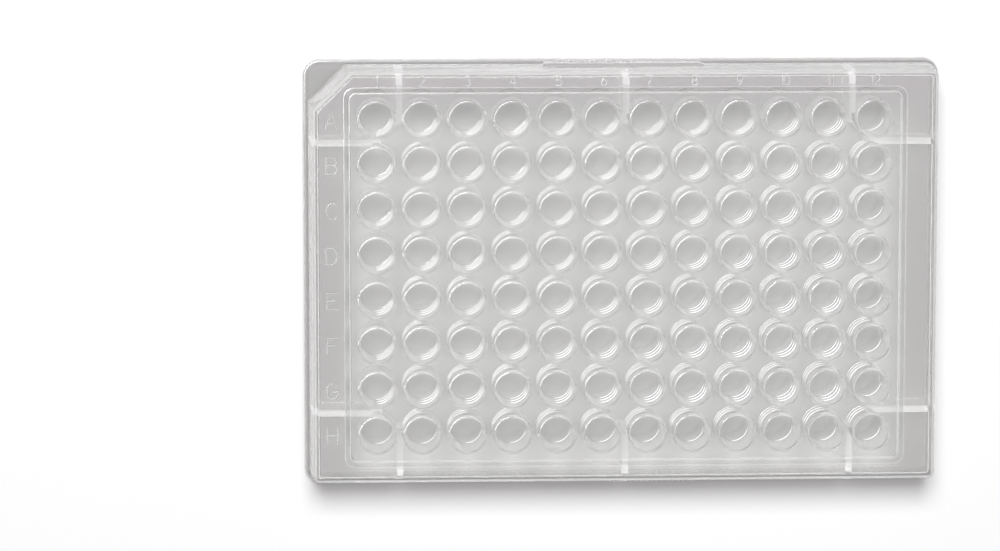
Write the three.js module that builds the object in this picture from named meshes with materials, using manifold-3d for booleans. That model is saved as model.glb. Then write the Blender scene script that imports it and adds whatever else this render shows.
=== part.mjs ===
// 96-well flat-bottom plate, injection moulded in one piece from clear polystyrene.
//
// Millimetres, +Z up. The origin is the centre of the footprint, on the table. +X runs along the
// column numbers, 1 to 12, and +Y points to row A, so well A1 is at the corner (-X, +Y).

import * as THREE from 'three';
import { mergeVertices } from 'three/addons/utils/BufferGeometryUtils.js';
import Module from 'manifold-3d';

const wasm = await Module();
wasm.setup();

// The grid of wells, which sets the footprint
const columns = 12;
const rows = 8;
const wellPitch = 9;
const edgeToFirstColumn = 14.38; // outside of the skirt to the centres of column 1
const edgeToFirstRow = 11.24; // outside of the skirt to the centres of row A

// One well and the tube around it, which set the height
const wellDepth = 10.9;
const wellMouthRadius = 3.48;
const wellFloorRadius = 3.2;
const floorThickness = 1.1;
const tubeWallAtMouth = 0.52;
const tubeWallAtFloor = 0.7;
const tubeClearance = 2.35; // table to the underside of the wells
const rimWidth = 0.37; // bevelled collar around each mouth
const rimRise = 0.25;
const wellFacets = 10;

// The deck: a ledge around a field that stands a step higher and carries the wells
const deckThickness = 1.1;
const fieldRise = 0.25;
const fieldMargin = 2.5; // beyond the collars of the outer wells
const fieldRadius = 2;
const stepThickness = 1.1;
const deckRadius = 1.2;
const keyCut = 7.3; // cut corner beside well A1

// The side wall, and the skirt that it stands on
const wallThickness = 1;
const wallDraft = THREE.MathUtils.degToRad(3.6);
const wallInsideRadius = 0.4;
const skirtHeight = 2.45;
const skirtStep = 1; // the skirt's top, from its outside to the wall
const skirtWall = 1.2;
const skirtRadius = 3.18;
const skirtEdge = 0.25; // bevel on the skirt's two outer edges
const recessHeight = 1.2; // room under the skirt for the deck of the plate below
const cornerFacets = 4;

// Webs between the wall and the outer tubes, each in the gap after the named row or column
const ribThickness = 1.3;
const ribFoot = 2;
const ribPastCentre = 1; // beyond the line of the outer wells' centres
const ribColumns = [1, 6, 11];
const ribRows = [1, 7];

// A pad to hold the plate by, on each long side
const gripLength = 32;
const gripHeight = 6.4;
const gripInset = 0.45; // behind the outside of the skirt
const gripRadius = 0.5;

const plateLength = (columns - 1) * wellPitch + 2 * edgeToFirstColumn;
const plateWidth = (rows - 1) * wellPitch + 2 * edgeToFirstRow;
const plateHeight = tubeClearance + floorThickness + wellDepth;
const fieldHeight = plateHeight - rimRise;
const ledgeHeight = fieldHeight - fieldRise;
const rimRadius = wellMouthRadius + rimWidth;

const columnX = (column) => (column - (columns + 1) / 2) * wellPitch;
const rowY = (row) => ((rows + 1) / 2 - row) * wellPitch;
const wallInset = (z) => skirtStep + (z - skirtHeight) * Math.tan(wallDraft);

// three.js geometry to a solid: shared vertices are merged, and the triangles that collapse
// where a lathe meets its axis are dropped.
function solidOf(geometry) {
  geometry.deleteAttribute('normal');
  geometry.deleteAttribute('uv');
  const { index, attributes } = mergeVertices(geometry, 1e-5);
  const triVerts = [];
  for (let i = 0; i < index.count; i += 3) {
    const [a, b, c] = [index.getX(i), index.getX(i + 1), index.getX(i + 2)];
    if (a !== b && b !== c && c !== a) triVerts.push(a, b, c);
  }
  return new wasm.Manifold(new wasm.Mesh({
    numProp: 3,
    vertProperties: attributes.position.array,
    triVerts: new Uint32Array(triVerts),
  }));
}

function geometryOf(solid) {
  const { vertProperties, triVerts } = solid.getMesh();
  const geometry = new THREE.BufferGeometry();
  geometry.setAttribute('position', new THREE.BufferAttribute(new Float32Array(vertProperties), 3));
  geometry.setIndex(new THREE.BufferAttribute(new Uint32Array(triVerts), 1));
  geometry.computeVertexNormals();
  return geometry;
}

const join = (solids) => solids.reduce((whole, solid) => whole.add(solid));

// A rectangle with rounded corners. The corner at A1 is cut straight where a cut is given.
function outline(length, width, radius, cut = 0) {
  const [x, y] = [length / 2, width / 2];
  const shape = new THREE.Shape();
  shape.moveTo(-x + radius, -y);
  shape.absarc(x - radius, -y + radius, radius, -Math.PI / 2, 0);
  shape.absarc(x - radius, y - radius, radius, 0, Math.PI / 2);
  if (cut > 0) {
    shape.lineTo(-x + cut, y);
    shape.lineTo(-x, y - cut);
  } else {
    shape.absarc(-x + radius, y - radius, radius, Math.PI / 2, Math.PI);
  }
  shape.absarc(-x + radius, -y + radius, radius, Math.PI, 1.5 * Math.PI);
  return shape;
}

function block(shape, from, to, bevel = 0) {
  return new THREE.ExtrudeGeometry(shape, {
    depth: to - from - 2 * bevel,
    bevelEnabled: bevel > 0,
    bevelThickness: bevel,
    bevelSize: bevel,
    bevelOffset: -bevel,
    bevelSegments: 1,
    curveSegments: cornerFacets,
  }).translate(0, 0, from + bevel);
}

// A block inside the wall's outer face by `depth`, leaning inwards with the wall as it rises.
function wallBlock(from, to, depth, radius, cut) {
  const inset = wallInset(from) + depth;
  const lean = wallInset(to) - wallInset(from);
  const shape = outline(plateLength - 2 * inset, plateWidth - 2 * inset, radius, cut);
  const geometry = block(shape, from, to);
  const { position } = geometry.attributes;
  for (let i = 0; i < position.count; i++) {
    if (position.getZ(i) < (from + to) / 2) continue;
    position.setX(i, position.getX(i) - Math.sign(position.getX(i)) * lean);
    position.setY(i, position.getY(i) - Math.sign(position.getY(i)) * lean);
  }
  return solidOf(geometry);
}

// The plate's outside without its wells: skirt, wall, raised field and grips.
function buildOutside() {
  const skirt = block(outline(plateLength, plateWidth, skirtRadius), 0, skirtHeight, skirtEdge);
  const wall = wallBlock(skirtHeight / 2, ledgeHeight, 0, deckRadius, keyCut);
  const field = fieldBlock(ledgeHeight / 2, fieldHeight, 0);
  return join([solidOf(skirt), wall, solidOf(field), ...buildGrips()]);
}

// The open underside: the skirt's recess, the inside of the wall and the room under the field.
function buildHollow() {
  const recessShape = outline(
    plateLength - 2 * skirtWall, plateWidth - 2 * skirtWall, skirtRadius - skirtWall);
  const recess = solidOf(block(recessShape, -1, recessHeight));
  const insideCut = keyCut - (2 - Math.SQRT2) * wallThickness; // parallel to the outer cut
  const inside = wallBlock(
    recessHeight / 2, ledgeHeight - deckThickness, wallThickness, wallInsideRadius, insideCut);
  const underField = solidOf(
    fieldBlock(ledgeHeight / 2, fieldHeight - deckThickness, stepThickness));
  return join([recess, inside, underField]);
}

function fieldBlock(from, to, depth) {
  const reach = rimRadius + fieldMargin - depth;
  const length = (columns - 1) * wellPitch + 2 * reach;
  const width = (rows - 1) * wellPitch + 2 * reach;
  return block(outline(length, width, fieldRadius - depth / 2), from, to);
}

function buildGrips() {
  const face = plateWidth / 2 - gripInset;
  const root = plateWidth / 2 - wallInset(gripHeight) - wallThickness / 2;
  return [-1, 1].map((side) => solidOf(
    block(outline(gripLength, face - root + gripRadius, gripRadius), skirtHeight / 2, gripHeight)
      .translate(0, side * (face - (face - root + gripRadius) / 2), 0)));
}

// Webs run from the middle of the wall's thickness to just past the outer wells' centres.
function buildRibs() {
  const top = ledgeHeight - deckThickness / 2;
  const wallCore = wallBlock(ribFoot, top, wallThickness / 2, wallInsideRadius, keyCut);
  const reachX = edgeToFirstColumn + ribPastCentre;
  const reachY = edgeToFirstRow + ribPastCentre;
  const rib = (x, y, length, width) => solidOf(
    new THREE.BoxGeometry(length, width, top - ribFoot + 1).translate(x, y, (top + ribFoot) / 2));
  const ribs = [];
  for (const side of [-1, 1]) {
    for (const column of ribColumns) {
      const y = side * (plateWidth - reachY) / 2;
      ribs.push(rib(columnX(column + 0.5), y, ribThickness, reachY));
    }
    for (const row of ribRows) {
      const x = side * (plateLength - reachX) / 2;
      ribs.push(rib(x, rowY(row + 0.5), reachX, ribThickness));
    }
  }
  return join(ribs).intersect(wallCore);
}

function turned(profile) {
  const points = profile.map(([radius, z]) => new THREE.Vector2(radius, z));
  return solidOf(new THREE.LatheGeometry(points, wellFacets).rotateX(Math.PI / 2));
}

// A well with its tube: a cup that hangs from the deck, with a bevelled collar above it.
function buildCup() {
  const floor = plateHeight - wellDepth;
  const seat = fieldHeight - deckThickness / 2; // hidden in the deck
  return turned([
    [0, tubeClearance],
    [wellFloorRadius + tubeWallAtFloor, tubeClearance],
    [wellMouthRadius + tubeWallAtMouth, seat],
    [rimRadius, seat],
    [rimRadius, fieldHeight],
    [wellMouthRadius, plateHeight],
    [wellFloorRadius, floor],
    [0, floor],
  ]);
}

// What is cut out of the deck for a cup: its side lies inside the cup's wall.
function buildCupHole() {
  const radius = wellMouthRadius + rimWidth / 2;
  return turned([[0, tubeClearance], [radius, tubeClearance], [radius, plateHeight], [0, plateHeight]]);
}

// One copy of a solid at each place of the grid.
function atEveryWell(solid) {
  const copies = [];
  for (let column = 1; column <= columns; column++) {
    for (let row = 1; row <= rows; row++) {
      copies.push(solid.translate([columnX(column), rowY(row), 0]));
    }
  }
  return join(copies);
}

const plate = buildOutside()
  .subtract(buildHollow())
  .add(buildRibs())
  .subtract(atEveryWell(buildCupHole()))
  .add(atEveryWell(buildCup()));

const clearPolystyrene = new THREE.MeshStandardMaterial({
  color: 0xe9ebea,
  roughness: 0.08,
  metalness: 0,
  transparent: true,
  opacity: 0.4,
});

const wellPlate = new THREE.Group();
wellPlate.name = 'well_plate';
const plateBody = new THREE.Mesh(geometryOf(plate), clearPolystyrene);
plateBody.name = 'plate_body';
wellPlate.add(plateBody);

export default wellPlate;
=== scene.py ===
import math

import bmesh
import bpy
from mathutils import Matrix, Vector


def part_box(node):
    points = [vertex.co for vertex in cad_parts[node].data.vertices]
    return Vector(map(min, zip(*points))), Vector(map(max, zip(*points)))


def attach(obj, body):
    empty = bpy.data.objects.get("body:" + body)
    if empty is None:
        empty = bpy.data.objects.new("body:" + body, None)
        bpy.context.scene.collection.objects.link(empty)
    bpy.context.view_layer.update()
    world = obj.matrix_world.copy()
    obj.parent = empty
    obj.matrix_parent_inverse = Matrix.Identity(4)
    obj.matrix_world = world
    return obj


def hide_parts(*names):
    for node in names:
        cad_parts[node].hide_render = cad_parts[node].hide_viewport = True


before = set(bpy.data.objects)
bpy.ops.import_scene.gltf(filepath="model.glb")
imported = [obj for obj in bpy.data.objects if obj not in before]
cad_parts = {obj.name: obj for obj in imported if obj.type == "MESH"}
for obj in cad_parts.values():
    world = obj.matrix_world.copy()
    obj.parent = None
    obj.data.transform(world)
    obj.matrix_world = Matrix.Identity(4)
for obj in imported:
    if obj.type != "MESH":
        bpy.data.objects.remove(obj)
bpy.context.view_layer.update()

mm = 0.001
scene = bpy.context.scene
scene.view_settings.view_transform = "Standard"
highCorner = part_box("plate_body")[1]
halfLength = highCorner.x / mm
halfWidth = highCorner.y / mm
plateHeight = highCorner.z / mm

grid = {"columns": 12, "rows": 8, "pitch": 9.0}  # wells, centred on the plate


def columnX(column):
    return (column - (grid["columns"] + 1) / 2) * grid["pitch"]


def rowY(row):
    return ((grid["rows"] + 1) / 2 - row) * grid["pitch"]


# Camera
camera = {
    "place": (-66.0, 100.0, 820.0),
    "aim": (-25.1, 0.6, 14.35),
    "lens": 147.4,
}


def addCamera():
    data = bpy.data.cameras.new("studioCamera")
    data.lens = camera["lens"]
    data.sensor_width = 36
    data.clip_start = 0.01
    data.clip_end = 50
    piece = bpy.data.objects.new("studioCamera", data)
    scene.collection.objects.link(piece)
    place = Vector(camera["place"]) * mm
    back = (place - Vector(camera["aim"]) * mm).normalized()
    right = Vector((0, 1, 0)).cross(back).normalized()
    up = back.cross(right)
    turn = Matrix((right, up, back)).transposed()
    piece.matrix_world = Matrix.Translation(place) @ turn.to_4x4()
    scene.camera = piece
    print("camera set")


addCamera()


# Mesh helpers. Sizes are in millimetres until a piece is finished.

def newPiece(name, mesh):
    piece = bpy.data.objects.new(name, mesh)
    scene.collection.objects.link(piece)
    return piece


def meshFrom(build, name):
    work = bmesh.new()
    build(work)
    bmesh.ops.remove_doubles(work, verts=work.verts, dist=1e-6)
    bmesh.ops.recalc_face_normals(work, faces=work.faces)
    mesh = bpy.data.meshes.new(name)
    work.to_mesh(mesh)
    work.free()
    return mesh


def finished(piece):
    # the piece with its modifiers turned into a plain mesh
    view = bpy.context.evaluated_depsgraph_get()
    mesh = bpy.data.meshes.new_from_object(piece.evaluated_get(view))
    piece.modifiers.clear()
    old = piece.data
    piece.data = mesh
    bpy.data.meshes.remove(old)
    return piece


edgeSteps = 3  # facets across a small rounded edge


def arc(centre, radius, start, end, steps=edgeSteps, high=None):
    # points of an arc between two angles in degrees, oval where it has a height of its own
    points = []
    for i in range(steps + 1):
        turn = math.radians(start + (end - start) * i / steps)
        points.append((centre[0] + radius * math.cos(turn),
                       centre[1] + (high or radius) * math.sin(turn)))
    return points


def linkNodes(tree, pairs):
    for source, target in pairs:
        tree.links.new(source, target)


# The resin is clear polystyrene. The finished mesh is in metres, so textures are scaled per metre.
resin = {
    "ior": 1.59,
    "bumpDistance": 0.0003,
    "waveScale": 70,
    "grainScale": 2400,
    "streakScale": 60,
    "streakStretch": (1.0, 14.0, 1.0),
    "streakTurn": 0.6,
    "scuffFrom": 0.6,      # where in the streaks a scuff starts
    "scuffFull": 0.75,
    "wear": 0.09,          # how far the tone goes towards white
}

# Painted ring highlights at the feet of the tubes, glints of the softboxes given as glow
paintedRingHighlight = {
    "lowest": 0.0027,      # metres
    "pitch": 0.0025,
    "count": 3.0,
    "faded": 0.09,         # half a ring's width as a share of the pitch, to where it ends
    "full": 0.03,          # and to where it is at its brightest
    "litFrom": (-0.62, 0.78, 0.0),
    "litSome": 0.66,       # how squarely a face looks that way when its rings start to show
    "litFull": 0.93,
}

# How each region looks. The regions are copies of one clear resin: their tones stand partly for the
# resin's tint and partly for painted shade, and differ region by region as lit and shaded copies.
# "flat" values belong to level faces and "upright" values to upright ones: the light left in a shadow,
# the roughness, and a painted glow, emission that the face gives off though it is no lamp. "rings" is
# the brightness of the painted ring highlights, and "Outer Count" how many the outermost sides have.
looks = {
    "shell": {"tone": (0.855, 0.85, 0.84), "clearness": 0.96,
              "shadow": {"flat": (0.45, 0.445, 0.445), "upright": (0.58, 0.54, 0.57)},
              "roughness": {"flat": 0.03, "upright": 0.2}, "paintedGlow": {"flat": 0.0, "upright": 0.075},
              "rings": 0.0, "Waves": 0.06, "Grain": 0.02, "Scuffs": 0.04},
    "ledge": {"tone": (0.76, 0.755, 0.746), "clearness": 0.96,
              "shadow": {"flat": (0.55, 0.545, 0.545), "upright": (0.58, 0.54, 0.57)},
              "roughness": {"flat": 0.03, "upright": 0.12}, "paintedGlow": {"flat": 0.0, "upright": 0.05},
              "rings": 0.0, "Waves": 0.06, "Grain": 0.02, "Scuffs": 0.06},
    "inside": {"tone": (0.77, 0.765, 0.757), "clearness": 0.96,
               "shadow": {"flat": (0.45, 0.445, 0.445), "upright": (0.58, 0.54, 0.57)},
               "roughness": {"flat": 0.03, "upright": 0.2}, "paintedGlow": {"flat": 0.0, "upright": 0.03},
               "rings": 0.0, "Waves": 0.06, "Grain": 0.02, "Scuffs": 0.02},
    "margin": {"tone": (0.66, 0.657, 0.65), "clearness": 0.93,
               "shadow": {"flat": (0.62, 0.62, 0.62), "upright": (0.75, 0.75, 0.75)},
               "roughness": {"flat": 0.03, "upright": 0.06}, "paintedGlow": {"flat": 0.02, "upright": 0.05},
               "rings": 0.0, "Waves": 0.1, "Grain": 0.01, "Scuffs": 0.08},
    "edges": {"tone": (0.84, 0.835, 0.83), "clearness": 0.66,
              "shadow": {"flat": (0.46, 0.455, 0.455), "upright": (0.58, 0.54, 0.57)},
              "roughness": {"flat": 0.08, "upright": 0.12}, "paintedGlow": {"flat": 0.06, "upright": 0.08},
              "rings": 0.0, "Waves": 0.05, "Grain": 0.015, "Scuffs": 0.015},
    "field": {"tone": (0.61, 0.607, 0.6), "clearness": 0.93,
              "shadow": {"flat": (0.62, 0.62, 0.62), "upright": (0.75, 0.75, 0.75)},
              "roughness": {"flat": 0.03, "upright": 0.06}, "paintedGlow": {"flat": 0.0, "upright": 0.05},
              "rings": 0.0, "Waves": 0.3, "Grain": 0.01, "Scuffs": 0.08},
    "wells": {"tone": (0.72, 0.716, 0.707), "clearness": 0.86,
              "shadow": {"flat": (0.75, 0.75, 0.75), "upright": (0.9, 0.9, 0.9)},
              "roughness": {"flat": 0.03, "upright": 0.06}, "paintedGlow": {"flat": 0.0, "upright": 0.12},
              "rings": 2.2, "Outer Count": 1.0, "Waves": 0.3, "Grain": 0.01, "Scuffs": 0.04},
    "tubes": {"tone": (0.72, 0.716, 0.707), "clearness": 0.86,
              "shadow": {"flat": (0.75, 0.75, 0.75), "upright": (0.9, 0.9, 0.9)},
              "roughness": {"flat": 0.03, "upright": 0.06}, "paintedGlow": {"flat": 0.0, "upright": 0.12},
              "rings": 4.2, "Outer Count": 0.0, "Waves": 0.3, "Grain": 0.01, "Scuffs": 0.04},
    "floors": {"tone": (0.84, 0.835, 0.825), "clearness": 0.9,
               "shadow": {"flat": (0.65, 0.65, 0.65), "upright": (0.8, 0.8, 0.8)},
               "roughness": {"flat": 0.05, "upright": 0.06}, "paintedGlow": {"flat": 0.0, "upright": 0.05},
               "rings": 0.0, "Waves": 0.2, "Grain": 0.01, "Scuffs": 0.06},
    "ribs": {"tone": (0.8, 0.797, 0.79), "clearness": 0.75,
             "shadow": {"flat": (0.8, 0.8, 0.8), "upright": (0.8, 0.8, 0.8)},
             "roughness": {"flat": 0.1, "upright": 0.15}, "paintedGlow": {"flat": 0.3, "upright": 0.12},
             "rings": 0.0, "Waves": 0.6, "Grain": 0.03, "Scuffs": 0.05},
    "webs": {"tone": (0.84, 0.835, 0.83), "clearness": 0.7,
             "shadow": {"flat": (0.8, 0.8, 0.8), "upright": (0.8, 0.8, 0.8)},
             "roughness": {"flat": 0.1, "upright": 0.15}, "paintedGlow": {"flat": 0.12, "upright": 0.12},
             "rings": 0.0, "Waves": 0.12, "Grain": 0.03, "Scuffs": 0.05},
    "letters": {"tone": (0.8, 0.797, 0.79), "clearness": 0.65,
                "shadow": {"flat": (0.6, 0.6, 0.6), "upright": (0.6, 0.6, 0.6)},
                "roughness": {"flat": 0.25, "upright": 0.3}, "paintedGlow": {"flat": 0.025, "upright": 0.06},
                "rings": 0.0, "Waves": 0.3, "Grain": 0.05, "Scuffs": 0.0},
    "numbers": {"tone": (0.8, 0.797, 0.79), "clearness": 0.6,
                "shadow": {"flat": (0.6, 0.6, 0.6), "upright": (0.6, 0.6, 0.6)},
                "roughness": {"flat": 0.25, "upright": 0.3}, "paintedGlow": {"flat": 0.08, "upright": 0.1},
                "rings": 0.0, "Waves": 0.3, "Grain": 0.05, "Scuffs": 0.0},
}


def colourMix(tree, factor, first, second):
    # goes from the first colour to the second; a colour is a socket or three numbers
    node = tree.nodes.new("ShaderNodeMix")
    node.data_type = "RGBA"
    tree.links.new(factor, node.inputs["Factor"])
    inputs = [socket for socket in node.inputs if socket.type == "RGBA"]
    for place, colour in zip(inputs, (first, second)):
        if isinstance(colour, bpy.types.NodeSocket):
            tree.links.new(colour, place)
        else:
            place.default_value = (*colour, 1)
    return [socket for socket in node.outputs if socket.type == "RGBA"][0]


def maths(tree, operation, first, second=None):
    # one operation on sockets or plain numbers
    node = tree.nodes.new("ShaderNodeMath")
    node.operation = operation
    for place, value in enumerate((first, second)):
        if value is None:
            continue
        if isinstance(value, (int, float)):
            node.inputs[place].default_value = value
        else:
            tree.links.new(value, node.inputs[place])
    return node.outputs[0]


def noise(tree, where, scale, detail, stretch=(1, 1, 1), turn=0.0):
    mapping = tree.nodes.new("ShaderNodeMapping")
    mapping.inputs["Scale"].default_value = stretch
    mapping.inputs["Rotation"].default_value = (0, 0, turn)
    node = tree.nodes.new("ShaderNodeTexNoise")
    node.inputs["Scale"].default_value = scale
    node.inputs["Detail"].default_value = detail
    linkNodes(tree, [(where, mapping.inputs[0]), (mapping.outputs[0], node.inputs["Vector"])])
    return node.outputs[0]


def makeMouldedSurface():
    # slow waves from the mould, a fine grain and a few rubbed scuffs
    tree = bpy.data.node_groups.new("mouldedSurface", "ShaderNodeTree")
    face = tree.interface
    for name, value in (("Waves", 1.0), ("Grain", 0.05), ("Scuffs", 0.1)):
        socket = face.new_socket(name, in_out="INPUT", socket_type="NodeSocketFloat")
        socket.default_value = value
    face.new_socket("Tone", in_out="INPUT", socket_type="NodeSocketColor")
    face.new_socket("Height", in_out="OUTPUT", socket_type="NodeSocketFloat")
    face.new_socket("Rubbed", in_out="OUTPUT", socket_type="NodeSocketFloat")
    face.new_socket("Tint", in_out="OUTPUT", socket_type="NodeSocketColor")
    source = tree.nodes.new("NodeGroupInput")
    result = tree.nodes.new("NodeGroupOutput")
    where = tree.nodes.new("ShaderNodeTexCoord").outputs["Object"]
    waves = noise(tree, where, resin["waveScale"], 2)
    grain = noise(tree, where, resin["grainScale"], 2)
    streaks = noise(tree, where, resin["streakScale"], 3, resin["streakStretch"], resin["streakTurn"])
    cut = tree.nodes.new("ShaderNodeMapRange")
    cut.inputs["From Min"].default_value = resin["scuffFrom"]
    cut.inputs["From Max"].default_value = resin["scuffFull"]
    tree.links.new(streaks, cut.inputs["Value"])
    rubbed = maths(tree, "MULTIPLY", cut.outputs[0], source.outputs["Scuffs"])
    height = maths(tree, "ADD", maths(tree, "MULTIPLY", waves, source.outputs["Waves"]),
                   maths(tree, "MULTIPLY", grain, source.outputs["Grain"]))
    worn = maths(tree, "MULTIPLY", maths(tree, "ADD", waves, grain), resin["wear"])
    tint = colourMix(tree, worn, source.outputs["Tone"], (1, 1, 1))
    linkNodes(tree, [(height, result.inputs["Height"]),
                     (rubbed, result.inputs["Rubbed"]),
                     (tint, result.inputs["Tint"])])
    return tree


def makeFootRings():
    # painted ring highlights round the foot of each tube, mostly where one tube faces another
    tree = bpy.data.node_groups.new("paintedRingHighlights", "ShaderNodeTree")
    face = tree.interface
    sizes = {"Foot": paintedRingHighlight["lowest"], "Pitch": paintedRingHighlight["pitch"],
             "Count": paintedRingHighlight["count"], "Outer Count": 0.0,
             "Half Length": columnX(grid["columns"]) * mm, "Half Width": rowY(1) * mm}
    for name, value in sizes.items():
        socket = face.new_socket(name, in_out="INPUT", socket_type="NodeSocketFloat")
        socket.default_value = value
    face.new_socket("Painted Ring", in_out="OUTPUT", socket_type="NodeSocketFloat")
    source = tree.nodes.new("NodeGroupInput")
    result = tree.nodes.new("NodeGroupOutput")
    split = tree.nodes.new("ShaderNodeSeparateXYZ")
    tree.links.new(tree.nodes.new("ShaderNodeTexCoord").outputs["Object"], split.inputs[0])
    turns = maths(tree, "DIVIDE", maths(tree, "SUBTRACT", split.outputs["Z"], source.outputs["Foot"]),
                  source.outputs["Pitch"])
    wave = maths(tree, "ABSOLUTE", maths(tree, "SUBTRACT", maths(tree, "FRACT", turns), 0.5))
    pulse = tree.nodes.new("ShaderNodeMapRange")
    pulse.interpolation_type = "SMOOTHSTEP"
    pulse.inputs["From Min"].default_value = paintedRingHighlight["faded"]
    pulse.inputs["From Max"].default_value = paintedRingHighlight["full"]
    tree.links.new(wave, pulse.inputs["Value"])
    inner = 1.0
    for axis, half in (("X", "Half Length"), ("Y", "Half Width")):
        away = maths(tree, "ABSOLUTE", split.outputs[axis])
        inner = maths(tree, "MULTIPLY", maths(tree, "LESS_THAN", away, source.outputs[half]), inner)
    low = maths(tree, "GREATER_THAN", turns, 0.0)
    count = maths(tree, "MAXIMUM", maths(tree, "MULTIPLY", inner, source.outputs["Count"]),
                  source.outputs["Outer Count"])
    within = maths(tree, "MULTIPLY", low, maths(tree, "LESS_THAN", turns, count))
    lit = tree.nodes.new("ShaderNodeVectorMath")  # only the side that faces the softboxes
    lit.operation = "DOT_PRODUCT"
    lit.inputs[1].default_value = paintedRingHighlight["litFrom"]
    tree.links.new(tree.nodes.new("ShaderNodeNewGeometry").outputs["True Normal"], lit.inputs[0])
    side = tree.nodes.new("ShaderNodeMapRange")
    side.interpolation_type = "SMOOTHSTEP"
    side.inputs["From Min"].default_value = paintedRingHighlight["litSome"]
    side.inputs["From Max"].default_value = paintedRingHighlight["litFull"]
    tree.links.new(lit.outputs["Value"], side.inputs["Value"])
    within = maths(tree, "MULTIPLY", within, side.outputs[0])
    tree.links.new(maths(tree, "MULTIPLY", pulse.outputs[0], within), result.inputs["Painted Ring"])
    return tree


mouldedSurface = makeMouldedSurface()
paintedRingHighlights = makeFootRings()


def makeResin(name, look):
    material = bpy.data.materials.new(name)
    material.use_nodes = True
    material.cycles.emission_sampling = "NONE"
    tree = material.node_tree
    tree.nodes.clear()
    out = tree.nodes.new("ShaderNodeOutputMaterial")
    shader = tree.nodes.new("ShaderNodeBsdfPrincipled")
    shader.inputs["IOR"].default_value = resin["ior"]
    shader.inputs["Transmission Weight"].default_value = look["clearness"]
    shader.inputs["Emission Strength"].default_value = 1.0
    surface = tree.nodes.new("ShaderNodeGroup")
    surface.node_tree = mouldedSurface
    for item in ("Waves", "Grain", "Scuffs"):
        surface.inputs[item].default_value = look[item]
    surface.inputs["Tone"].default_value = (*look["tone"], 1)
    bump = tree.nodes.new("ShaderNodeBump")
    bump.inputs["Strength"].default_value = 1.0
    bump.inputs["Distance"].default_value = resin["bumpDistance"]

    # level is 1 on a level face and 0 on an upright one
    place = tree.nodes.new("ShaderNodeNewGeometry")
    split = tree.nodes.new("ShaderNodeSeparateXYZ")
    tree.links.new(place.outputs["True Normal"], split.inputs[0])
    level = maths(tree, "ABSOLUTE", split.outputs["Z"])
    polish = tree.nodes.new("ShaderNodeMapRange")
    polish.inputs["To Min"].default_value = look["roughness"]["upright"]
    polish.inputs["To Max"].default_value = look["roughness"]["flat"]
    tree.links.new(level, polish.inputs["Value"])
    rough = maths(tree, "ADD", polish.outputs[0], surface.outputs["Rubbed"])
    shade = colourMix(tree, level, look["shadow"]["upright"], look["shadow"]["flat"])
    # painted glow: emission on level and upright faces, as each look gives it, though the plastic is
    # no lamp
    paintedGlow = colourMix(tree, level, [look["paintedGlow"]["upright"]] * 3, [look["paintedGlow"]["flat"]] * 3)
    rings = tree.nodes.new("ShaderNodeGroup")
    rings.node_tree = paintedRingHighlights
    rings.inputs["Outer Count"].default_value = look.get("Outer Count", 0.0)
    seenFromAir = maths(tree, "SUBTRACT", 1.0, place.outputs["Backfacing"])
    upright = maths(tree, "MULTIPLY", maths(tree, "SUBTRACT", 1.0, level), seenFromAir)
    # the painted ring highlights glow only on upright faces seen from the air, in place of the painted
    # glow
    onPaintedRing = maths(tree, "MULTIPLY", rings.outputs["Painted Ring"], upright)
    paintedGlowAndRings = colourMix(tree, onPaintedRing, paintedGlow, [look["rings"]] * 3)

    clear = tree.nodes.new("ShaderNodeBsdfTransparent")
    path = tree.nodes.new("ShaderNodeLightPath")
    mix = tree.nodes.new("ShaderNodeMixShader")
    linkNodes(tree, [(surface.outputs["Tint"], shader.inputs["Base Color"]),
                     (surface.outputs["Height"], bump.inputs["Height"]),
                     (bump.outputs[0], shader.inputs["Normal"]),
                     (rough, shader.inputs["Roughness"]),
                     (paintedGlowAndRings, shader.inputs["Emission Color"]),
                     (shade, clear.inputs["Color"]),
                     (path.outputs["Is Shadow Ray"], mix.inputs[0]),
                     (shader.outputs[0], mix.inputs[1]),
                     (clear.outputs[0], mix.inputs[2]),
                     (mix.outputs[0], out.inputs["Surface"])])
    return material


# one resin in lit and shaded copies: the copies differ in tone and painted glow to paint in light and
# shade, region by region
shellResin = makeResin("shellPolystyrene", looks["shell"])
wellResin = makeResin("wellPolystyrene", looks["wells"])
tubePaintedRingsResin = makeResin("tubePaintedRingsPolystyrene", looks["tubes"])
lighterFloorResin = makeResin("lighterWellFloorPolystyrene", looks["floors"])
fieldResin = makeResin("fieldPolystyrene", looks["field"])
marginLightenedResin = makeResin("marginLightenedPolystyrene", looks["margin"])
ledgeDarkenedResin = makeResin("ledgeDarkenedPolystyrene", looks["ledge"])
insideDarkenedResin = makeResin("insideDarkenedPolystyrene", looks["inside"])
paintedEdgeGlowResin = makeResin("paintedEdgeGlowPolystyrene", looks["edges"])
paintedBrightRibResin = makeResin("paintedBrightRibPolystyrene", looks["ribs"])
webResin = makeResin("webPolystyrene", looks["webs"])
letterResin = makeResin("letterPolystyrene", looks["letters"])
numberResin = makeResin("numberPolystyrene", looks["numbers"])
print("resin mixed")


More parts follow.
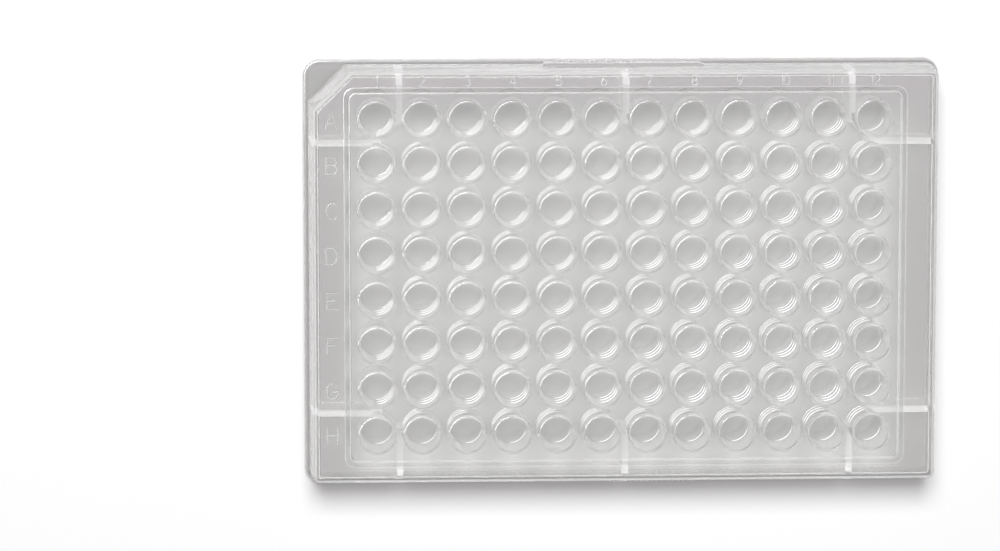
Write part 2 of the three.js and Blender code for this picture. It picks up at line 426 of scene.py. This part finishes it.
# Shell: skirt, wall, ledge and raised field in one skin
shell = {
    "cornerSteps": 9,
    "skirtHeight": 2.45,
    "skirtStep": 1.0,
    "skirtWall": 1.2,
    "skirtRadius": 3.18,
    "skirtEdge": 0.4,       # rounding of the skirt's outer edges
    "wallThickness": 1.0,
    "wallDraft": 3.6,       # degrees
    "wallFillet": 0.35,     # skirt to wall
    "insideRadius": 0.6,    # corners inside the wall
    "insideFillet": 0.4,    # inside of the wall to the deck
    "deckRadius": 1.2,
    "deckEdge": 0.3,        # rounding of the deck's edge
    "edgeBand": 0.6,        # band beside that edge, painted bright with a glow
    "deckThickness": 1.1,
    "keyCut": 7.3,
    "ledgeHeight": 13.85,
    "fieldHeight": 14.1,
    "fieldReach": 6.35,     # beyond the centres of the outer wells
    "fieldRadius": 2.0,
    "fieldSlope": 1.0,      # width of the field's sloping edge
    "slopeEdge": 0.16,      # width of the soft edges at its foot and top
    "slopeEdgeRise": 0.05,
    "leastRadius": 0.3,     # for the corners of inner outlines
    "stepThickness": 1.1,
    "stepTop": ((0.12, 0.0), (0.03, -0.06)),     # the step from below: inset and rise from its edges
    "stepFoot": ((-0.02, 0.08), (-0.1, 0.0)),
    "recessHeight": 1.2,
}


def wallInset(z):
    return shell["skirtStep"] + (z - shell["skirtHeight"]) * math.tan(math.radians(shell["wallDraft"]))


def outlineRing(x, y, radius, z, cut=0.0):
    # one closed ring; all rings have the same number of points, so that faces can join them
    steps = shell["cornerSteps"]
    ring = arc((x - radius, -y + radius), radius, -90, 0, steps)
    ring += arc((x - radius, y - radius), radius, 0, 90, steps)
    if cut > 0:
        soft = min(radius, cut * 0.3)  # a short cut has less room for its round ends
        reach = soft * math.tan(math.radians(22.5))  # from the corner to where its arc ends
        half = steps // 2
        ring += arc((-x + cut + reach, y - soft), soft, 90, 135, half)
        ring += arc((-x + soft, y - cut - reach), soft, 135, 180, half)
    else:
        ring += arc((-x + radius, y - radius), radius, 90, 180, steps)
    ring += arc((-x + radius, -y + radius), radius, 180, 270, steps)
    return [(px, py, z) for px, py in ring]


def insetRing(inset, z, radius, cut=0.0):
    return outlineRing(halfLength - inset, halfWidth - inset, radius, z, cut)


def fieldRing(inset, z):
    reach = shell["fieldReach"] - inset
    x = columnX(grid["columns"]) + reach
    y = rowY(1) + reach
    return outlineRing(x, y, max(shell["fieldRadius"] - inset / 2, shell["leastRadius"]), z)


shellFinishes = (shellResin, paintedEdgeGlowResin, fieldResin, marginLightenedResin, ledgeDarkenedResin, insideDarkenedResin)


def shellRings():
    s = shell
    rings = []
    # outside, from the foot to the field
    edge = s["skirtEdge"]
    for x, z in arc((edge, edge), edge, 270, 180):
        rings.append(insetRing(x, z, s["skirtRadius"] - x))
    skirtTop = len(rings)
    for x, z in arc((edge, s["skirtHeight"] - edge), edge, 180, 90):
        rings.append(insetRing(x, z, s["skirtRadius"] - x))
    fillet = s["wallFillet"]
    for x, z in arc((s["skirtStep"] - fillet, s["skirtHeight"] + fillet), fillet, 270, 360):
        rings.append(insetRing(x, z, s["deckRadius"] + s["skirtStep"] - x, s["keyCut"]))
    deckEdge = len(rings)
    edge = s["deckEdge"]
    topInset = wallInset(s["ledgeHeight"] - edge)
    for x, z in arc((topInset + edge, s["ledgeHeight"] - edge), edge, 180, 90):
        rings.append(insetRing(x, z, s["deckRadius"] - (x - topInset), s["keyCut"]))
    rings.append(insetRing(topInset + s["edgeBand"], s["ledgeHeight"], s["leastRadius"], s["keyCut"]))
    slope = len(rings)
    rings.append(fieldRing(-s["slopeEdge"], s["ledgeHeight"]))
    rings.append(fieldRing(0.0, s["ledgeHeight"] + s["slopeEdgeRise"]))
    rings.append(fieldRing(s["fieldSlope"] - s["slopeEdge"], s["fieldHeight"] - s["slopeEdgeRise"]))
    rings.append(fieldRing(s["fieldSlope"], s["fieldHeight"]))
    rings.append(fieldRing(s["fieldReach"], s["fieldHeight"]))
    outside = len(rings)

    # underside, from the field to the foot
    under = s["fieldHeight"] - s["deckThickness"]
    ledgeUnder = s["ledgeHeight"] - s["deckThickness"]
    rings.append(fieldRing(s["fieldReach"], under))
    for level, points in ((under, s["stepTop"]), (ledgeUnder, s["stepFoot"])):
        for inset, rise in points:
            rings.append(fieldRing(s["stepThickness"] + inset, level + rise))
    wallTop = len(rings)
    insideCut = s["keyCut"] - (2 - math.sqrt(2)) * s["wallThickness"]
    fillet = s["insideFillet"]
    face = wallInset(ledgeUnder - fillet) + s["wallThickness"]
    for x, z in arc((face + fillet, ledgeUnder - fillet), fillet, 90, 180):
        rings.append(insetRing(x, z, s["insideRadius"] - (x - face) / 2, insideCut))
    wallFoot = len(rings)
    foot = wallInset(s["recessHeight"]) + s["wallThickness"]
    rings.append(insetRing(foot, s["recessHeight"], s["insideRadius"], insideCut))
    rings.append(insetRing(s["skirtWall"], s["recessHeight"], s["skirtRadius"] - s["skirtWall"]))
    rings.append(insetRing(s["skirtWall"], 0.0, s["skirtRadius"] - s["skirtWall"]))

    # the look of each strip of faces, by the ring that it starts from
    # painted bright strips along the edges, and lighter and darker copies of the resin for the margin,
    # the ledge and the inside of the wall, as painted light and shade
    paintedBrightStrips = [*range(skirtTop, skirtTop + edgeSteps), *range(deckEdge, slope - 1), slope, slope + 2]
    margin = [slope + 1, slope + 3, outside]
    ledge = [slope - 1, wallTop - 1]
    inside = range(wallTop, wallFoot)
    finishes = {}
    for finish, places in ((paintedEdgeGlowResin, paintedBrightStrips), (marginLightenedResin, margin), (ledgeDarkenedResin, ledge),
                           (insideDarkenedResin, inside)):
        finishes.update({ring: finish for ring in places})
    return rings, finishes, outside


def buildShell(work):
    rings, finishes, outside = shellRings()
    loops = [[work.verts.new(point) for point in ring] for ring in rings]
    count = len(loops[0])
    order = list(range(len(loops))) + [0]
    for a, b in zip(order[:-1], order[1:]):
        if a == outside - 1:
            continue
        for i in range(count):
            j = (i + 1) % count
            side = work.faces.new((loops[a][i], loops[a][j], loops[b][j], loops[b][i]))
            side.material_index = shellFinishes.index(finishes.get(a, shellResin))
    for ring in (outside - 1, outside):
        work.faces.new(loops[ring]).material_index = shellFinishes.index(fieldResin)


shellPiece = newPiece("shell", meshFrom(buildShell, "shell"))
for finish in shellFinishes:
    shellPiece.data.materials.append(finish)
print("shell built,", len(shellPiece.data.polygons), "faces")


# Geometry Nodes: copies of a small part on a grid

def setInputs(modifier, values):
    for item in modifier.node_group.interface.items_tree:
        if item.item_type == "SOCKET" and item.in_out == "INPUT" and item.name in values:
            modifier[item.identifier] = values[item.name]


def copiesTree():
    # named sizes: how many and how far apart
    tree = bpy.data.node_groups.new("copiesOnGrid", "GeometryNodeTree")
    face = tree.interface
    face.new_socket("Part", in_out="INPUT", socket_type="NodeSocketGeometry")
    for name, value in (("Along X", 12), ("Along Y", 8)):
        socket = face.new_socket(name, in_out="INPUT", socket_type="NodeSocketInt")
        socket.default_value = value
        socket.min_value = 1
    for name in ("Spacing X", "Spacing Y"):
        socket = face.new_socket(name, in_out="INPUT", socket_type="NodeSocketFloat")
        socket.default_value = 9.0
    face.new_socket("Finish", in_out="INPUT", socket_type="NodeSocketMaterial")
    face.new_socket("Copies", in_out="OUTPUT", socket_type="NodeSocketGeometry")

    nodes = tree.nodes
    source = nodes.new("NodeGroupInput")
    result = nodes.new("NodeGroupOutput")
    layout = nodes.new("GeometryNodeMeshGrid")
    instance = nodes.new("GeometryNodeInstanceOnPoints")
    realize = nodes.new("GeometryNodeRealizeInstances")
    finish = nodes.new("GeometryNodeSetMaterial")

    def spanOf(count, spacing):
        less = nodes.new("ShaderNodeMath")
        less.operation = "SUBTRACT"
        less.inputs[1].default_value = 1.0
        span = nodes.new("ShaderNodeMath")
        span.operation = "MULTIPLY"
        linkNodes(tree, [(source.outputs[count], less.inputs[0]),
                         (less.outputs[0], span.inputs[0]),
                         (source.outputs[spacing], span.inputs[1])])
        return span.outputs[0]

    linkNodes(tree, [
        (source.outputs["Along X"], layout.inputs["Vertices X"]),
        (source.outputs["Along Y"], layout.inputs["Vertices Y"]),
        (spanOf("Along X", "Spacing X"), layout.inputs["Size X"]),
        (spanOf("Along Y", "Spacing Y"), layout.inputs["Size Y"]),
        (layout.outputs["Mesh"], instance.inputs["Points"]),
        (source.outputs["Part"], instance.inputs["Instance"]),
        (instance.outputs[0], realize.inputs[0]),
        (realize.outputs[0], finish.inputs["Geometry"]),
        (source.outputs["Finish"], finish.inputs["Material"]),
        (finish.outputs[0], result.inputs[0]),
    ])
    return tree


copiesOnGrid = copiesTree()


def copyOnGrid(piece, values):
    modifier = piece.modifiers.new("copies", "NODES")
    modifier.node_group = copiesOnGrid
    setInputs(modifier, values)
    return finished(piece)


# Wells
well = {
    "segments": 36,
    "mouthRadius": 3.48,
    "floorRadius": 3.2,
    "floorHeight": 3.45,
    "floorFillet": 0.3,
    "tubeFoot": 2.35,
    "tubeFootRadius": 3.9,
    "tubeFootFillet": 0.4,
    "tubeTopRadius": 4.0,
    "rimRadius": 3.85,
    "rimFoot": 0.02,        # upright part of the collar, above the field
    "rimOutside": ((0.02, 0.07), (0.06, 0.03), (0.15, 0.0)),   # in from the rim, down from the top
    "rimInside": ((0.06, 0.0), (0.02, 0.03), (0.0, 0.1)),      # out from the mouth, down from the top
    "boreFoot": 5.0,
    "boreTop": 20.0,
    "levelFrom": 0.95,      # a face of the floor points up or down at least this much
    "skin": 0.45,           # past the floor's radius, where the outside of the tube starts
}


def lathe(work, profile, segments):
    # turns a profile that starts and ends on the axis
    rings = []
    for radius, z in profile:
        if radius < 1e-6:
            rings.append([work.verts.new((0, 0, z))])
            continue
        rings.append([work.verts.new((radius * math.cos(2 * math.pi * i / segments),
                                      radius * math.sin(2 * math.pi * i / segments), z))
                      for i in range(segments)])
    for a, b in zip(rings[:-1], rings[1:]):
        for i in range(segments):
            j = (i + 1) % segments
            if len(a) == 1:
                work.faces.new((a[0], b[j], b[i]))
            elif len(b) == 1:
                work.faces.new((a[i], a[j], b[0]))
            else:
                work.faces.new((a[i], a[j], b[j], b[i]))


def buildCup(work):
    w = well
    seat = shell["fieldHeight"] - shell["deckThickness"] / 2
    fillet = w["tubeFootFillet"]
    foot = arc((w["tubeFootRadius"] - fillet, w["tubeFoot"] + fillet), fillet, 270, 360)
    rim = [(w["rimRadius"], shell["fieldHeight"] + w["rimFoot"])]
    rim += [(w["rimRadius"] - across, plateHeight - down) for across, down in w["rimOutside"]]
    rim += [(w["mouthRadius"] + across, plateHeight - down) for across, down in w["rimInside"]]
    fillet = w["floorFillet"]
    corner = arc((w["floorRadius"] - fillet, w["floorHeight"] + fillet), fillet, 0, -90)
    profile = [(0, w["tubeFoot"]), *foot, (w["tubeTopRadius"], seat), (w["rimRadius"], seat)]
    profile += [*rim, *corner, (0, w["floorHeight"])]
    lathe(work, profile, w["segments"])


def buildBore(work):
    # what the deck loses for a cup, so that the cup's own wall fills it
    middle = (well["mouthRadius"] + well["rimRadius"]) / 2
    foot, top = well["boreFoot"], well["boreTop"]
    lathe(work, [(0, foot), (middle, foot), (middle, top), (0, top)], well["segments"])


wellSpacing = {"Finish": wellResin, "Along X": grid["columns"], "Along Y": grid["rows"],
               "Spacing X": grid["pitch"], "Spacing Y": grid["pitch"]}
cupPiece = copyOnGrid(newPiece("cups", meshFrom(buildCup, "cup")), wellSpacing)
borePiece = copyOnGrid(newPiece("bores", meshFrom(buildBore, "bore")), wellSpacing)


def finishCups(piece):
    # the floors get a lighter copy of the resin, and the outsides of the tubes a copy with painted
    # ring highlights of their own
    slots = piece.data.materials
    floors, tubes = len(slots), len(slots) + 1
    for finish in (lighterFloorResin, tubePaintedRingsResin):
        slots.append(finish)
    pitch = grid["pitch"]
    left, front = columnX(0.5), rowY(grid["rows"] + 0.5)
    highest = well["floorHeight"] + 0.05  # a little over the floor, for rounding
    outside = well["floorRadius"] + well["skin"]  # from the well's own axis
    for polygon in piece.data.polygons:
        x, y, z = polygon.center
        away = math.hypot((x - left) % pitch - pitch / 2, (y - front) % pitch - pitch / 2)
        if abs(polygon.normal.z) > well["levelFrom"] and z < highest:
            polygon.material_index = floors
        elif away > outside and z < shell["fieldHeight"]:
            polygon.material_index = tubes


finishCups(cupPiece)
print("wells built,", len(cupPiece.data.polygons), "faces")


# Ribs
rib = {
    "thickness": 1.3,
    "foot": 2.0,
    "pastCentre": 1.0,      # beyond the line of the outer wells' centres
    "lap": 0.05,            # how far the two parts of a rib run into each other
    "longSide": {"count": 3, "spacing": 5 * grid["pitch"]},
    "shortSide": {"count": 2, "spacing": 6 * grid["pitch"]},
}


def buildRib(work, half, inner, outer=None):
    # a web on the +Y side, from `inner` to `outer` or to the middle of the wall
    side = rib["thickness"] / 2
    foot = rib["foot"]
    top = shell["ledgeHeight"] - shell["deckThickness"] / 2
    middle = shell["wallThickness"] / 2
    ends = [(half - wallInset(foot) - middle, foot), (half - wallInset(top) - middle, top)]
    if outer is not None:
        ends = [(outer, foot), (outer, top)]
    corners = []
    for x in (-side, side):
        points = [(x, inner, foot)] + [(x, y, z) for y, z in ends] + [(x, inner, top)]
        corners.append([work.verts.new(point) for point in points])
    work.faces.new(corners[0])
    work.faces.new(list(reversed(corners[1])))
    for i in range(4):
        j = (i + 1) % 4
        work.faces.new((corners[0][i], corners[1][i], corners[1][j], corners[0][j]))


def addRibs(name, half, outerCentre, layout, turn):
    # the ribs have a brighter painted glow under the ledge than under the field
    end = outerCentre - rib["pastCentre"]
    step = outerCentre + shell["fieldReach"]
    spacing = {"Along X": layout["count"], "Along Y": 1,
               "Spacing X": layout["spacing"], "Spacing Y": 0.0}
    pieces = []
    parts = (("Ledge", paintedBrightRibResin, step, None), ("Field", webResin, end, step + rib["lap"]))
    for part, finish, inner, outer in parts:
        mesh = meshFrom(lambda work: buildRib(work, half, inner, outer), name + part)
        piece = copyOnGrid(newPiece(name + part, mesh), {"Finish": finish, **spacing})
        twin = newPiece(name + part + "Twin", piece.data.copy())
        twin.data.transform(Matrix.Rotation(math.pi, 4, "Z"))
        for one in (piece, twin):
            one.data.transform(Matrix.Rotation(turn, 4, "Z"))
            pieces.append(one)
    return pieces


ribPieces = addRibs("ribsLong", halfWidth, rowY(1), rib["longSide"], 0.0)
ribPieces += addRibs("ribsShort", halfLength, columnX(grid["columns"]), rib["shortSide"], math.pi / 2)
print("ribs built,", len(ribPieces), "rows")


# Grip pads
grip = {
    "length": 32.0,
    "top": 6.4,
    "inset": 0.45,          # behind the outside of the skirt
    "edge": 0.35,           # rounding of the top edge
    "corner": 0.5,
    "cornerSteps": 4,
    "ridges": 15,
    "ridgePitch": 1.07,
    "ridgeWidth": 0.55,
    "ridgeRise": 0.3,
    "ridgeRoot": 0.25,      # how deep a ridge starts in the pad
    "ridgeFoot": 0.3,       # how deep it starts in the skirt
    "ridgeEnd": 0.5,        # below the top of the pad
    "noseSteps": 4,
    "ridgeCentre": -5.5,    # from the plate's middle, on the side of row A
}


def buildGrip(work):
    face = halfWidth - grip["inset"]
    root = halfWidth - wallInset(grip["top"]) - shell["wallThickness"] / 2
    edge, corner, steps = grip["edge"], grip["corner"], grip["cornerSteps"]
    levels = [(0.0, shell["skirtHeight"] / 2), *arc((edge, grip["top"] - edge), edge, 180, 90)]
    loops = []
    for inset, z in levels:
        x = grip["length"] / 2 - inset
        y = face - inset - corner
        points = [(-x, root), (x, root)]
        points += arc((x - corner, y), corner, 0, 90, steps)
        points += arc((-x + corner, y), corner, 90, 180, steps)
        loops.append([work.verts.new((px, py, z)) for px, py in points])
    for a, b in zip(loops[:-1], loops[1:]):
        for i in range(len(a)):
            j = (i + 1) % len(a)
            work.faces.new((a[i], a[j], b[j], b[i]))
    work.faces.new(list(reversed(loops[0])))
    work.faces.new(loops[-1])


def buildRidge(work):
    # one upright ridge of the grip, with a rounded nose
    base = halfWidth - grip["inset"]
    root = base - grip["ridgeRoot"]
    nose = arc((0, base), grip["ridgeWidth"] / 2, 0, 180, grip["noseSteps"], grip["ridgeRise"])
    points = [(nose[0][0], root), *nose, (nose[-1][0], root)]
    low = [work.verts.new((x, y, shell["skirtHeight"] - grip["ridgeFoot"])) for x, y in points]
    high = [work.verts.new((x, y, grip["top"] - grip["ridgeEnd"])) for x, y in points]
    for i in range(len(points)):
        j = (i + 1) % len(points)
        work.faces.new((low[i], low[j], high[j], high[i]))
    work.faces.new(list(reversed(low)))
    work.faces.new(high)


def addGrips():
    pads = newPiece("grips", meshFrom(buildGrip, "grip"))
    ridges = newPiece("ridges", meshFrom(buildRidge, "ridge"))
    pads.data.materials.append(shellResin)
    ridges = copyOnGrid(ridges, {"Finish": shellResin, "Along X": grip["ridges"], "Along Y": 1,
                                 "Spacing X": grip["ridgePitch"], "Spacing Y": 0.0})
    ridges.data.transform(Matrix.Translation((grip["ridgeCentre"], 0, 0)))
    pieces = [pads, ridges]
    for piece in (pads, ridges):
        twin = newPiece(piece.name + "Twin", piece.data.copy())
        twin.data.transform(Matrix.Rotation(math.pi, 4, "Z"))
        pieces.append(twin)
    return pieces


gripPieces = addGrips()
print("grips built")


# Row letters and column numbers
marks = {
    "letters": {"text": "ABCDEFGH", "height": 3.2, "x": -58.5, "stroke": 0.4},
    "numbers": {"height": 1.95, "y": 39.2, "stroke": 0.32, "gap": 0.28},
    "rise": 1.1,            # height of a stroke, as a share of half its width
    "bowSteps": 10,
    "beadSides": 10,
}


def bow(x, y, wide, high, start, end):
    return arc((x, y), wide, start, end, marks["bowSteps"], high)


def loop(x, y, wide, high):
    # a closed oval, whose last point is its first, so the bow stops one step before
    points = bow(x, y, wide, high, 0, 330)
    return points + points[:1]


# strokes of each mark, one unit tall
strokes = {
    "A": [[(0, 0), (0.35, 1), (0.7, 0)], [(0.12, 0.34), (0.58, 0.34)]],
    "B": [[(0, 0), (0, 1)], [(0, 1)] + bow(0.4, 0.76, 0.24, 0.24, 90, -90) + [(0, 0.52)],
          bow(0.4, 0.26, 0.27, 0.26, 90, -90) + [(0, 0)]],
    "C": [bow(0.36, 0.5, 0.36, 0.5, 48, 312)],
    "D": [[(0, 0), (0, 1)], [(0, 1)] + bow(0.28, 0.5, 0.4, 0.5, 90, -90) + [(0, 0)]],
    "E": [[(0.62, 1), (0, 1), (0, 0), (0.62, 0)], [(0, 0.52), (0.5, 0.52)]],
    "F": [[(0.62, 1), (0, 1), (0, 0)], [(0, 0.52), (0.5, 0.52)]],
    "G": [bow(0.36, 0.5, 0.36, 0.5, 48, 330) + [(0.69, 0.46), (0.4, 0.46)]],
    "H": [[(0, 0), (0, 1)], [(0.66, 0), (0.66, 1)], [(0, 0.52), (0.66, 0.52)]],
    "0": [loop(0.3, 0.5, 0.3, 0.5)],
    "1": [[(0.1, 0.8), (0.3, 1), (0.3, 0)]],
    "2": [bow(0.3, 0.71, 0.29, 0.29, 170, -35) + [(0.02, 0), (0.62, 0)]],
    "3": [bow(0.28, 0.76, 0.25, 0.24, 150, -90), bow(0.28, 0.26, 0.3, 0.26, 90, -150)],
    "4": [[(0.46, 0), (0.46, 1), (0, 0.3)], [(0, 0.3), (0.66, 0.3)]],
    "5": [[(0.56, 1), (0.1, 1), (0.06, 0.56)] + bow(0.29, 0.31, 0.31, 0.31, 125, -150)],
    "6": [[(0.42, 1), (0.1, 0.58)], loop(0.3, 0.31, 0.3, 0.31)],
    "7": [[(0, 1), (0.6, 1), (0.2, 0)]],
    "8": [loop(0.3, 0.76, 0.23, 0.24), loop(0.3, 0.27, 0.29, 0.27)],
    "9": [[(0.18, 0), (0.5, 0.42)], loop(0.3, 0.69, 0.3, 0.31)],
}


def beadTree():
    # a raised bead that follows a drawn line
    tree = bpy.data.node_groups.new("beadOnLine", "GeometryNodeTree")
    face = tree.interface
    face.new_socket("Line", in_out="INPUT", socket_type="NodeSocketGeometry")
    for name, value in (("Width", 0.36), ("Rise", 0.5)):
        socket = face.new_socket(name, in_out="INPUT", socket_type="NodeSocketFloat")
        socket.default_value = value
    face.new_socket("Finish", in_out="INPUT", socket_type="NodeSocketMaterial")
    face.new_socket("Bead", in_out="OUTPUT", socket_type="NodeSocketGeometry")
    nodes = tree.nodes
    source = nodes.new("NodeGroupInput")
    result = nodes.new("NodeGroupOutput")
    toCurve = nodes.new("GeometryNodeMeshToCurve")
    upright = nodes.new("GeometryNodeSetCurveNormal")
    upright.mode = "Z_UP"
    ring = nodes.new("GeometryNodeCurvePrimitiveCircle")
    ring.inputs["Resolution"].default_value = marks["beadSides"]
    half = nodes.new("ShaderNodeMath")
    half.operation = "MULTIPLY"
    half.inputs[1].default_value = 0.5
    flat = nodes.new("ShaderNodeCombineXYZ")
    flat.inputs["X"].default_value = 1.0
    flat.inputs["Z"].default_value = 1.0
    shape = nodes.new("GeometryNodeTransform")
    sweep = nodes.new("GeometryNodeCurveToMesh")
    sweep.inputs["Fill Caps"].default_value = True
    realize = nodes.new("GeometryNodeRealizeInstances")
    finish = nodes.new("GeometryNodeSetMaterial")
    linkNodes(tree, [
        (source.outputs["Line"], toCurve.inputs["Mesh"]),
        (toCurve.outputs[0], upright.inputs[0]),
        (source.outputs["Width"], half.inputs[0]),
        (half.outputs[0], ring.inputs["Radius"]),
        (source.outputs["Rise"], flat.inputs["Y"]),
        (ring.outputs["Curve"], shape.inputs["Geometry"]),
        (flat.outputs[0], shape.inputs["Scale"]),
        (upright.outputs[0], sweep.inputs["Curve"]),
        (shape.outputs[0], sweep.inputs["Profile Curve"]),
        (sweep.outputs[0], realize.inputs[0]),
        (realize.outputs[0], finish.inputs["Geometry"]),
        (source.outputs["Finish"], finish.inputs["Material"]),
        (finish.outputs[0], result.inputs[0]),
    ])
    return tree


beadOnLine = beadTree()


def addMark(text, height, width, gap, place, finish):
    # a letter or a number, centred on its place and sunk halfway into the ledge
    drawn = []
    start = 0.0
    for sign in text:
        wide = max(x for line in strokes[sign] for x, y in line) * height
        for line in strokes[sign]:
            drawn.append([(x * height + start, (y - 0.5) * height) for x, y in line])
        start += wide + gap
    xs = [x for line in drawn for x, y in line]
    middle = (min(xs) + max(xs)) / 2
    pieces = []
    for line in drawn:
        mesh = bpy.data.meshes.new("stroke")
        points = [(x - middle + place[0], y + place[1], shell["ledgeHeight"]) for x, y in line]
        edges = [(i, i + 1) for i in range(len(points) - 1)]
        if points[0] == points[-1]:
            points.pop()
            edges[-1] = (len(points) - 1, 0)
        mesh.from_pydata(points, edges, [])
        piece = newPiece("mark" + text, mesh)
        modifier = piece.modifiers.new("bead", "NODES")
        modifier.node_group = beadOnLine
        setInputs(modifier, {"Width": width, "Rise": marks["rise"], "Finish": finish})
        pieces.append(finished(piece))
    return pieces


def addMarks():
    pieces = []
    letters, numbers = marks["letters"], marks["numbers"]
    for row, letter in enumerate(letters["text"], 1):
        pieces += addMark(letter, letters["height"], letters["stroke"], 0,
                          (letters["x"], rowY(row)), letterResin)
    for column in range(1, grid["columns"] + 1):
        pieces += addMark(str(column), numbers["height"], numbers["stroke"], numbers["gap"],
                          (columnX(column), numbers["y"]), numberResin)
    return pieces


markPieces = addMarks()
print("marks built,", len(markPieces), "strokes")


# One moulding: everything is joined, and the bores are cut before the cups go in

def combine(target, other, operation):
    modifier = target.modifiers.new("combine", "BOOLEAN")
    modifier.solver = "MANIFOLD"
    modifier.material_mode = "TRANSFER"
    modifier.operation = operation
    modifier.object = other
    finished(target)
    bpy.data.objects.remove(other)


for piece in ribPieces + gripPieces + markPieces:
    combine(shellPiece, piece, "UNION")
combine(shellPiece, borePiece, "DIFFERENCE")
combine(shellPiece, cupPiece, "UNION")

platePiece = shellPiece
platePiece.name = "wellPlate"
platePiece.data.transform(Matrix.Scale(mm, 4))
platePiece.data.update()
triangles = sum(len(p.vertices) - 2 for p in platePiece.data.polygons)
print("plate joined,", triangles, "triangles")


def smoothPlate(piece, angle):
    # only the turned walls and the round corners are smooth, so that the flats stay flat
    for polygon in piece.data.polygons:
        polygon.use_smooth = True
    piece.data.set_sharp_from_angle(angle=math.radians(angle))


smoothPlate(platePiece, 12)


# Floor and light. The card shows in what shines or is clear, and doesn't light the floor.
studio = {
    "floorHalf": 6.0,       # metres
    "floorTone": 0.86,
    "floorLift": 0.15,      # extra brightness of the floor for the camera and for glass
    "fibreScale": 900,
    "fibreTone": 0.012,
    "fibreHeight": 0.00002,
    "key": {"place": (-60.0, 420.0, 1000.0), "size": (400.0, 400.0), "power": 11.4},
    "fill": {"place": (0.0, 0.0, 1500.0), "size": (1200.0, 1200.0), "power": 4.4},
    "card": {"place": (-390.0, 390.0, 950.0), "size": (1500.0, 260.0), "power": 17.0},
}


def seenDirectly(tree):
    # 1 for the camera and for what shines or is clear, 0 for the light on the plate
    path = tree.nodes.new("ShaderNodeLightPath")
    direct = maths(tree, "MAXIMUM", path.outputs["Is Camera Ray"], path.outputs["Is Glossy Ray"])
    return maths(tree, "MAXIMUM", direct, path.outputs["Is Transmission Ray"])


def makeFloor():
    half = studio["floorHalf"]
    corners = [(-half, -half, 0), (half, -half, 0), (half, half, 0), (-half, half, 0)]
    mesh = bpy.data.meshes.new("floor")
    mesh.from_pydata(corners, [], [(0, 1, 2, 3)])
    floor = newPiece("floor", mesh)
    material = bpy.data.materials.new("paperFloor")
    material.use_nodes = True
    tree = material.node_tree
    shader = tree.nodes["Principled BSDF"]
    where = tree.nodes.new("ShaderNodeTexCoord").outputs["Object"]
    fibres = noise(tree, where, studio["fibreScale"], 3)
    dark, light = studio["floorTone"] - studio["fibreTone"], studio["floorTone"] + studio["fibreTone"]
    paper = colourMix(tree, fibres, [dark] * 3, [light] * 3)
    bump = tree.nodes.new("ShaderNodeBump")
    bump.inputs["Distance"].default_value = studio["fibreHeight"]
    shader.inputs["Roughness"].default_value = 0.9
    shader.inputs["Specular IOR Level"].default_value = 0.0
    shader.inputs["Emission Color"].default_value = (1, 1, 1, 1)
    lift = maths(tree, "MULTIPLY", seenDirectly(tree), studio["floorLift"])
    # clear from below, to show the plate's underside
    side = tree.nodes.new("ShaderNodeNewGeometry")
    clear = tree.nodes.new("ShaderNodeBsdfTransparent")
    mix = tree.nodes.new("ShaderNodeMixShader")
    linkNodes(tree, [(paper, shader.inputs["Base Color"]),
                     (fibres, bump.inputs["Height"]),
                     (bump.outputs[0], shader.inputs["Normal"]),
                     (lift, shader.inputs["Emission Strength"]),
                     (side.outputs["Backfacing"], mix.inputs[0]),
                     (shader.outputs[0], mix.inputs[1]),
                     (clear.outputs[0], mix.inputs[2]),
                     (mix.outputs[0], tree.nodes["Material Output"].inputs["Surface"])])
    mesh.materials.append(material)


def makeWorld():
    world = bpy.data.worlds.new("studioWorld")
    world.use_nodes = True
    tree = world.node_tree
    back = tree.nodes["Background"]
    back.inputs["Color"].default_value = (1, 1, 1, 1)
    tree.links.new(seenDirectly(tree), back.inputs["Strength"])
    scene.world = world


def addSoftbox(name, box):
    data = bpy.data.lights.new(name, "AREA")
    data.shape = "RECTANGLE"
    data.size = box["size"][0] * mm
    data.size_y = box["size"][1] * mm
    data.energy = box["power"]
    piece = bpy.data.objects.new(name, data)
    scene.collection.objects.link(piece)
    piece.location = Vector(box["place"]) * mm
    towards = Vector((0, 0, 0)) - piece.location
    piece.rotation_euler = towards.to_track_quat("-Z", "Y").to_euler()
    return piece


makeFloor()
makeWorld()
key = addSoftbox("keySoftbox", studio["key"])
key.visible_glossy = False
key.visible_transmission = False
addSoftbox("fillSoftbox", studio["fill"])
card = addSoftbox("reflectionCard", studio["card"])
card.visible_diffuse = False
scene.cycles.caustics_reflective = False
scene.cycles.caustics_refractive = False
scene.cycles.max_bounces = 24
scene.cycles.transmission_bounces = 24
scene.cycles.transparent_max_bounces = 32
print("studio set")

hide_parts("plate_body")
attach(platePiece, "root")
